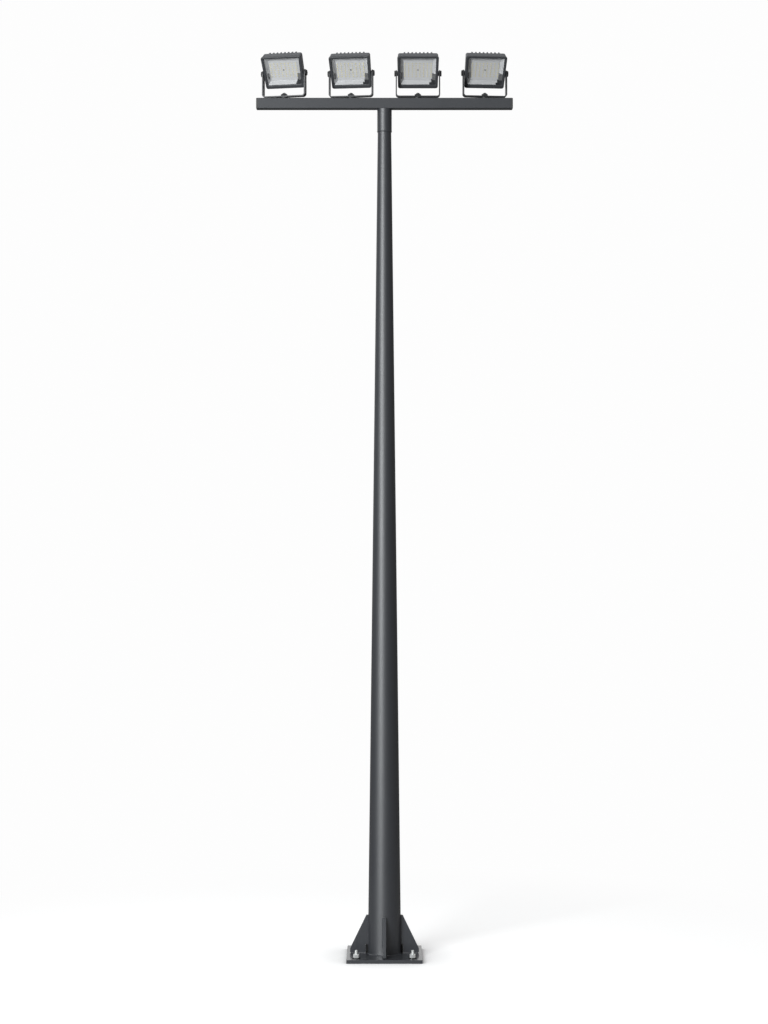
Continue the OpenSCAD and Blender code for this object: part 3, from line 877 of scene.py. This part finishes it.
def make_gland():
    """Cable gland: hexagon, ribbed cap nut with a cone, and the plug that closes it."""
    gland_low, gland_high = own_box("gland_1", light_one)
    middle = (gland_low.z + gland_high.z) / 2
    flats_r = 12 * MM
    flats_h = 8 * MM
    nut_r = 10.2 * MM
    nut_h = 13.5 * MM
    cone_h = 4 * MM
    lap = 0.5 * MM
    ribs = 16
    rib_size = Matrix.Diagonal((1.6 * MM, 1.5 * MM, 11 * MM, 1))
    bm = bmesh.new()
    place = Matrix.Translation((0, CASE_BACK - MM, middle)) @ Matrix.Rotation(math.radians(-90), 4, "X")
    hexagon = add_tube(bm, flats_r / math.cos(math.radians(30)), flats_h, place, 6)
    soften(bm, end_rims(bm, hexagon, place, flats_h), 1.0 * MM)
    nut = place @ Matrix.Translation((0, 0, flats_h - lap))
    add_tube(bm, nut_r, nut_h, nut, 48)
    cone = nut @ Matrix.Translation((0, 0, nut_h))
    tip = add_tube(bm, nut_r, cone_h, cone, 48, 6.5 * MM)
    soften(bm, end_rims(bm, tip, cone, cone_h), 0.7 * MM)
    for number in range(ribs):
        turn = Matrix.Rotation(2 * math.pi * number / ribs, 4, "Z")
        rib = nut @ turn @ Matrix.Translation((nut_r - lap, 0, 6.5 * MM))
        bmesh.ops.create_cube(bm, size=1.0, matrix=rib @ rib_size)
    return bm


# ---------------------------------------------------------------- bolts, anchors and welds


BOLT_AF = 41 * MM
BOLT_HEX_H = 12 * MM
BOLT_SHANK_R = 8 * MM
BOLT_TURNS = {1: -15, 2: -19, 3: -17, 4: -13}


def add_hexagon(bm, place, across, height, turned):
    """A hexagon head or nut with softened upper edges, from a place along its Z."""
    body = add_tube(bm, across / 2 / math.cos(math.radians(30)), height, place, 6)
    soften(bm, end_rims(bm, body, place, height), turned, 3)


def make_pivot_bolt(i):
    """Large hexagon head with a pointed crown, on a shank with a chamfered end."""
    low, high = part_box(f"pivot_bolt_{i}")
    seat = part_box(f"yoke_{i}")[0].z + STRIP_T + CLEAR
    middle = (low + high) / 2
    turn = Matrix.Rotation(math.radians(BOLT_TURNS[i]), 4, "Z")
    head = Matrix.Translation((middle.x, middle.y, seat)) @ turn
    bm = bmesh.new()
    add_tube(bm, BOLT_AF * 0.47, 1.2 * MM, head, 64)
    add_hexagon(bm, head @ Matrix.Translation((0, 0, MM)), BOLT_AF, BOLT_HEX_H - MM, 1.5 * MM)
    crown = head @ Matrix.Translation((0, 0, BOLT_HEX_H - 0.3 * MM))
    crown_h = high.z - seat - BOLT_HEX_H + 0.3 * MM
    cone = add_tube(bm, BOLT_AF * 0.48, crown_h, crown, 64, 6 * MM)
    soften(bm, end_rims(bm, cone, crown, crown_h), 4 * MM, 4)
    foot = Matrix.Translation((middle.x, middle.y, low.z))
    shank = add_tube(bm, BOLT_SHANK_R, seat - low.z + 0.5 * MM, foot, 48)
    soften(bm, end_rims(bm, shank, foot, 0), 1.2 * MM, 1)
    return bm


ANCHOR_WASHER_R = 29 * MM
ANCHOR_WASHER_T = 5 * MM
NUT_AF = 38 * MM
NUT_H = 24 * MM
NUT_TURNS = (-16, 20, -12, 35)
STUD_R = 10 * MM
STUD_PITCH = 2.5 * MM
STUD_ABOVE = 56 * MM


def anchor_spots():
    """Centres of the four anchors, as x and y."""
    pattern = mounts["anchor_bolts"]["dims"]
    half_x = pattern["spacing_x_mm"] / 2 * MM
    half_y = pattern["spacing_y_mm"] / 2 * MM
    for x in (-half_x, half_x):
        for y in (-half_y, half_y):
            yield x, y


plate_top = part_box("base_plate")[1].z


def make_washers():
    """Large flat washers under the nuts."""
    bm = bmesh.new()
    for x, y in anchor_spots():
        place = Matrix.Translation((x, y, plate_top + 0.1 * MM))
        disc = add_tube(bm, ANCHOR_WASHER_R, ANCHOR_WASHER_T, place, 64)
        soften(bm, end_rims(bm, disc, place, ANCHOR_WASHER_T), 0.8 * MM)
    return bm


def make_nuts():
    """Hexagon nuts with a turned chamfer above and a washer face below."""
    bm = bmesh.new()
    for (x, y), degrees in zip(anchor_spots(), NUT_TURNS):
        turn = Matrix.Rotation(math.radians(degrees), 4, "Z")
        foot = Matrix.Translation((x, y, plate_top + ANCHOR_WASHER_T)) @ turn
        add_tube(bm, NUT_AF / 2 * 0.97, 1.2 * MM, foot, 48)
        add_hexagon(bm, foot @ Matrix.Translation((0, 0, MM)), NUT_AF, NUT_H - MM, 1.6 * MM)
        collar = foot @ Matrix.Translation((0, 0, NUT_H - 0.5 * MM))
        top = add_tube(bm, NUT_AF / 2 * 0.93, 1.5 * MM, collar, 48)
        soften(bm, end_rims(bm, top, collar, 1.5 * MM), 0.6 * MM)
    return bm


def absorb(bm, other):
    """Adds one bmesh to another and frees it."""
    mesh = bpy.data.meshes.new("part")
    other.to_mesh(mesh)
    other.free()
    bm.from_mesh(mesh)
    bpy.data.meshes.remove(mesh)


def turn_profile(bm, profile, steps, closed=False):
    """Spins a line of points round the Z axis. A closed line joins its last point to its first."""
    verts = [bm.verts.new(point) for point in profile]
    ends = verts[1:] + verts[:1] if closed else verts[1:]
    edges = [bm.edges.new(pair) for pair in zip(verts, ends)]
    bmesh.ops.spin(bm, geom=verts + edges, cent=(0, 0, 0), axis=(0, 0, 1), dvec=(0, 0, 0),
                   angle=2 * math.pi, steps=steps, use_merge=True)


def threaded_stud():
    """A threaded stud on the Z axis, with a chamfered end."""
    bm = bmesh.new()
    depth = 1.2 * MM
    top = plate_top + STUD_ABOVE
    profile = [Vector((0, 0, MM)), Vector((STUD_R - depth, 0, MM))]
    z = 4 * MM
    while z < top - 6 * MM:
        profile.append(Vector((STUD_R - depth, 0, z)))
        profile.append(Vector((STUD_R, 0, z + STUD_PITCH * 0.35)))
        profile.append(Vector((STUD_R, 0, z + STUD_PITCH * 0.5)))
        z += STUD_PITCH
    profile.append(Vector((STUD_R - depth, 0, z)))
    profile.append(Vector((STUD_R - depth, 0, top - 2 * MM)))
    profile.append(Vector((STUD_R - 3 * MM, 0, top)))
    profile.append(Vector((0, 0, top)))
    turn_profile(bm, profile, 40)
    bmesh.ops.remove_doubles(bm, verts=bm.verts, dist=1e-6)
    return bm


def make_studs():
    """The four studs through the plate's holes."""
    bm = bmesh.new()
    for x, y in anchor_spots():
        stud = threaded_stud()
        bmesh.ops.transform(stud, matrix=Matrix.Translation((x, y, 0)), verts=stud.verts)
        absorb(bm, stud)
    return bm


FILLET = 5 * MM
FILLET_SUNK = 0.8 * MM
RIPPLE = 3.5 * MM


def fillet_section(size):
    """Corner points of a fillet weld, as its reach along each of the two faces it joins."""
    return [(-FILLET_SUNK, -FILLET_SUNK), (size, -FILLET_SUNK), (size * 0.93, size * 0.12),
            (size * 0.52, size * 0.52), (size * 0.12, size * 0.93), (-FILLET_SUNK, size)]


def ring_bead(radius, z, size, up=1, waves=90):
    """A fillet weld all round a tube, with the ripples of its passes."""
    bm = bmesh.new()
    profile = [Vector((radius + out, 0, z + up * rise)) for out, rise in fillet_section(size)]
    turn_profile(bm, profile, waves * 4, closed=True)
    bmesh.ops.remove_doubles(bm, verts=bm.verts, dist=1e-7)
    for vert in bm.verts:
        out = vert.co.xy.length - radius
        if out > size * 0.3:
            angle = math.atan2(vert.co.y, vert.co.x)
            ripple = 0.35 * MM * math.sin(waves * angle) + 0.25 * MM * math.sin(7 * angle)
            vert.co += Vector((vert.co.x, vert.co.y, 0)).normalized() * ripple
    return bm


def line_bead(start, end, out_one, out_two):
    """A fillet weld along a straight corner: the two outs point along the faces it joins."""
    bm = bmesh.new()
    start, end = Vector(start), Vector(end)
    one, two = Vector(out_one), Vector(out_two)
    along = end - start
    count = max(4, int(along.length / (RIPPLE / 2)))
    face = bm.faces.new([bm.verts.new(start + one * a + two * b) for a, b in fillet_section(FILLET)])
    for _ in range(count):
        grown = bmesh.ops.extrude_face_region(bm, geom=[face])["geom"]
        moved = [item for item in grown if isinstance(item, bmesh.types.BMVert)]
        bmesh.ops.translate(bm, verts=moved, vec=along / count)
        bmesh.ops.delete(bm, geom=[face], context="FACES_ONLY")
        face = next(item for item in grown if isinstance(item, bmesh.types.BMFace))
    bmesh.ops.holes_fill(bm, edges=bm.edges, sides=0)
    middle = (one + two).normalized()
    for vert in bm.verts:
        reach = (vert.co - start).dot(middle)
        if reach > FILLET * 0.5:
            travel = (vert.co - start).dot(along.normalized())
            vert.co += middle * 0.3 * MM * math.sin(travel / RIPPLE * math.pi)
    return bm


shaft_low, shaft_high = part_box("mast_shaft")
sleeve_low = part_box("top_sleeve")[0]
gusset_low, gusset_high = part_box("gusset_right")
FOOT_R = shaft_high.x
TOP_R = 45.5 * MM
GUSSET_HALF = (gusset_high.y - gusset_low.y) / 2
COPE = 14 * MM
COPE_TOP = plate_top + 62 * MM
QUARTERS = [Matrix.Rotation(quarter * math.pi / 2, 4, "Z") for quarter in range(4)]


def mast_r(z):
    """The mast's radius at a height."""
    share = (z - shaft_low.z) / (shaft_high.z - shaft_low.z)
    return FOOT_R + (TOP_R - FOOT_R) * share


def gusset_beads():
    """Welds of the gusset on the right: its foot and its edge on both faces, and round its cope."""
    cope_r = mast_r(COPE_TOP) - 0.5 * MM
    top = gusset_high.z
    top_r = mast_r(top) - 0.5 * MM
    for sign in (-1, 1):
        face = sign * GUSSET_HALF
        yield line_bead((FOOT_R + COPE, face, plate_top), (gusset_high.x - 10 * MM, face, plate_top),
                        (0, sign, 0), (0, 0, 1))
        yield line_bead((cope_r, face, COPE_TOP), (top_r, face, top - 2 * MM), (1, 0, 0), (0, sign, 0))
    past = GUSSET_HALF + 4 * MM
    yield line_bead((cope_r, -past, COPE_TOP), (cope_r, past, COPE_TOP), (1, 0, 0), (0, 0, -1))


def make_welds():
    """Weld beads at the mast's foot, under the top sleeve and along the four gussets."""
    welds = ring_bead(FOOT_R, plate_top, FILLET)
    absorb(welds, ring_bead(mast_r(sleeve_low.z) + 0.5 * MM, sleeve_low.z, 4.5 * MM, up=-1, waves=60))
    for turn in QUARTERS:
        for bead in gusset_beads():
            bmesh.ops.transform(bead, matrix=turn, verts=bead.verts)
            absorb(welds, bead)
    return welds


def make_cope_shade_fill():
    """Near-black blocks that fill the gussets' weld copes: painted shade, so the copes read as dark slots."""
    shade_fill = bmesh.new()
    for turn in QUARTERS:
        dark_block = bmesh.new()
        add_block(dark_block, mast_r(COPE_TOP) - 0.5 * MM, FOOT_R + COPE - CLEAR, plate_top, COPE_TOP,
                  -4 * MM, 4 * MM)
        bmesh.ops.transform(dark_block, matrix=turn, verts=dark_block.verts)
        absorb(shade_fill, dark_block)
    return shade_fill


# ---------------------------------------------------------------- build

add_camera()

mast_paint = powder_coat("mast_paint", 0.02, rough=0.48, tint=0.2, specular=1.0, coat=0.3)
plate_paint = powder_coat("plate_paint", 0.037, rough=0.33, tint=0.12, specular=0.6, coat=0.5,
                          coat_rough=0.15)
bar_paint = powder_coat("bar_paint", 0.031, rough=0.5, tint=0.12, specular=0.5, cloud=9.0)
housing_paint = cast_coat("housing_paint", 0.085, rough=0.5, tint=0.06)
bezel_paint = powder_coat("bezel_paint", 0.042, rough=0.4, tint=0.08)
yoke_paint = powder_coat("yoke_paint", 0.025, rough=0.4, tint=0.06)
black_steel = powder_coat("black_steel", 0.02, rough=0.35, tint=0.02)
bolt_steel = powder_coat("bolt_steel", 0.03, rough=0.28, tint=0.05, specular=1.0)
cap_plastic = moulded("cap_plastic", 0.04)
knob_plastic = moulded("knob_plastic", 0.012)
# Near-black matt fill for the weld copes: painted shade.
cope_shade_black = moulded("cope_shade_black", 0.01, rough=0.8, specular=0.2)
terminal_grey = moulded("terminal_grey", 0.17)
clip_grey = moulded("clip_grey", 0.09)
glass = clear_glass("glass")
tray_white = reflector_white("tray_white", 0.58)
chip_white = reflector_white("chip_white", 0.64, rough=0.45)
zinc = zinc_plate("zinc", 0.75, rough=0.4)
yellow = phosphor("yellow")

SLOT_PAINTS = {
    "mast_coat": mast_paint, "plate_coat": plate_paint, "crossbar_coat": bar_paint,
    "housing_coat": housing_paint, "bezel_coat": bezel_paint, "yoke_coat": yoke_paint,
    "bolt_dark": black_steel, "cap_plastic": cap_plastic, "knob_plastic": knob_plastic,
    "lens_glass": glass, "tray_white": tray_white,
}
for node, slot in slots.items():
    mesh = frame["nodes"][node].data
    mesh.materials.clear()
    mesh.materials.append(SLOT_PAINTS[slot])

dressed("base_plate", 1.2 * MM, plate_paint)
for side in ("front", "back", "left", "right"):
    dressed(f"gusset_{side}", 1.0 * MM, plate_paint)
dressed("crossbar", 0.6 * MM, bar_paint)
dressed("top_sleeve", 0.6 * MM, mast_paint)
dressed("yoke_spacers", 1.0 * MM, black_steel)
for i in LIGHTS:
    dressed(f"yoke_{i}", 0.7 * MM, yoke_paint)
    bolt = finish_piece(f"fine_bolt_{i}", make_pivot_bolt(i), bolt_steel, "mast", 25)
    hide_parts(f"pivot_bolt_{i}")

on_each_light("frame", make_bezel, bezel_paint, "bezel", 30)
on_each_light("pane", make_glass, glass, "lens")
on_each_light("reflector", make_tray, tray_white, "led_tray", 50)
on_each_light("board", make_board, chip_white)
on_each_light("chips", make_chips, chip_white)
on_each_light("phosphors", make_phosphors, yellow)
on_each_light("corner_cover", make_corner_cover, bezel_paint)
on_each_light("side_clip", make_side_clip, clip_grey)
on_each_light("terminal", make_terminal, terminal_grey)
on_each_light("board_screws", make_board_screws, black_steel)
on_each_light("case", make_case, housing_paint, "housing")
on_each_light("fins", make_fins, housing_paint)
on_each_light("bosses", make_bosses, housing_paint)
on_each_light("back_screws", make_back_screws, black_steel)
for side, sign in SIDES.items():
    on_each_light(f"hand_knob_{side}", lambda: make_knob(sign), knob_plastic,
                  f"knob_{side}")
on_each_light("fine_gland", make_gland, knob_plastic, "gland")

finish_piece("anchor_washers", make_washers(), black_steel, "mast")
finish_piece("anchor_nuts", make_nuts(), zinc, "mast")
finish_piece("anchor_studs", make_studs(), zinc, "mast", 25)
# The weld copes are filled near-black: painted shade.
finish_piece("cope_shade_fill", make_cope_shade_fill(), cope_shade_black, "mast")
finish_piece("weld_beads", make_welds(), plate_paint, "mast", 60)

# ---------------------------------------------------------------- floor and lamps

add_floor()
add_world(level=0.40)
add_lamp("key", place=(-5.2, -8.85, 4.75), target=(0, 0, 3.0), width=4.5, height=9.4, power=1450,
         colour=(0.955, 0.985, 1.0))
add_lamp("top", place=(-1.0, -3.5, 11.0), target=(0, 0, 4), width=5.0, height=4.0, power=150)

bpy.context.scene.view_settings.view_transform = "Standard"
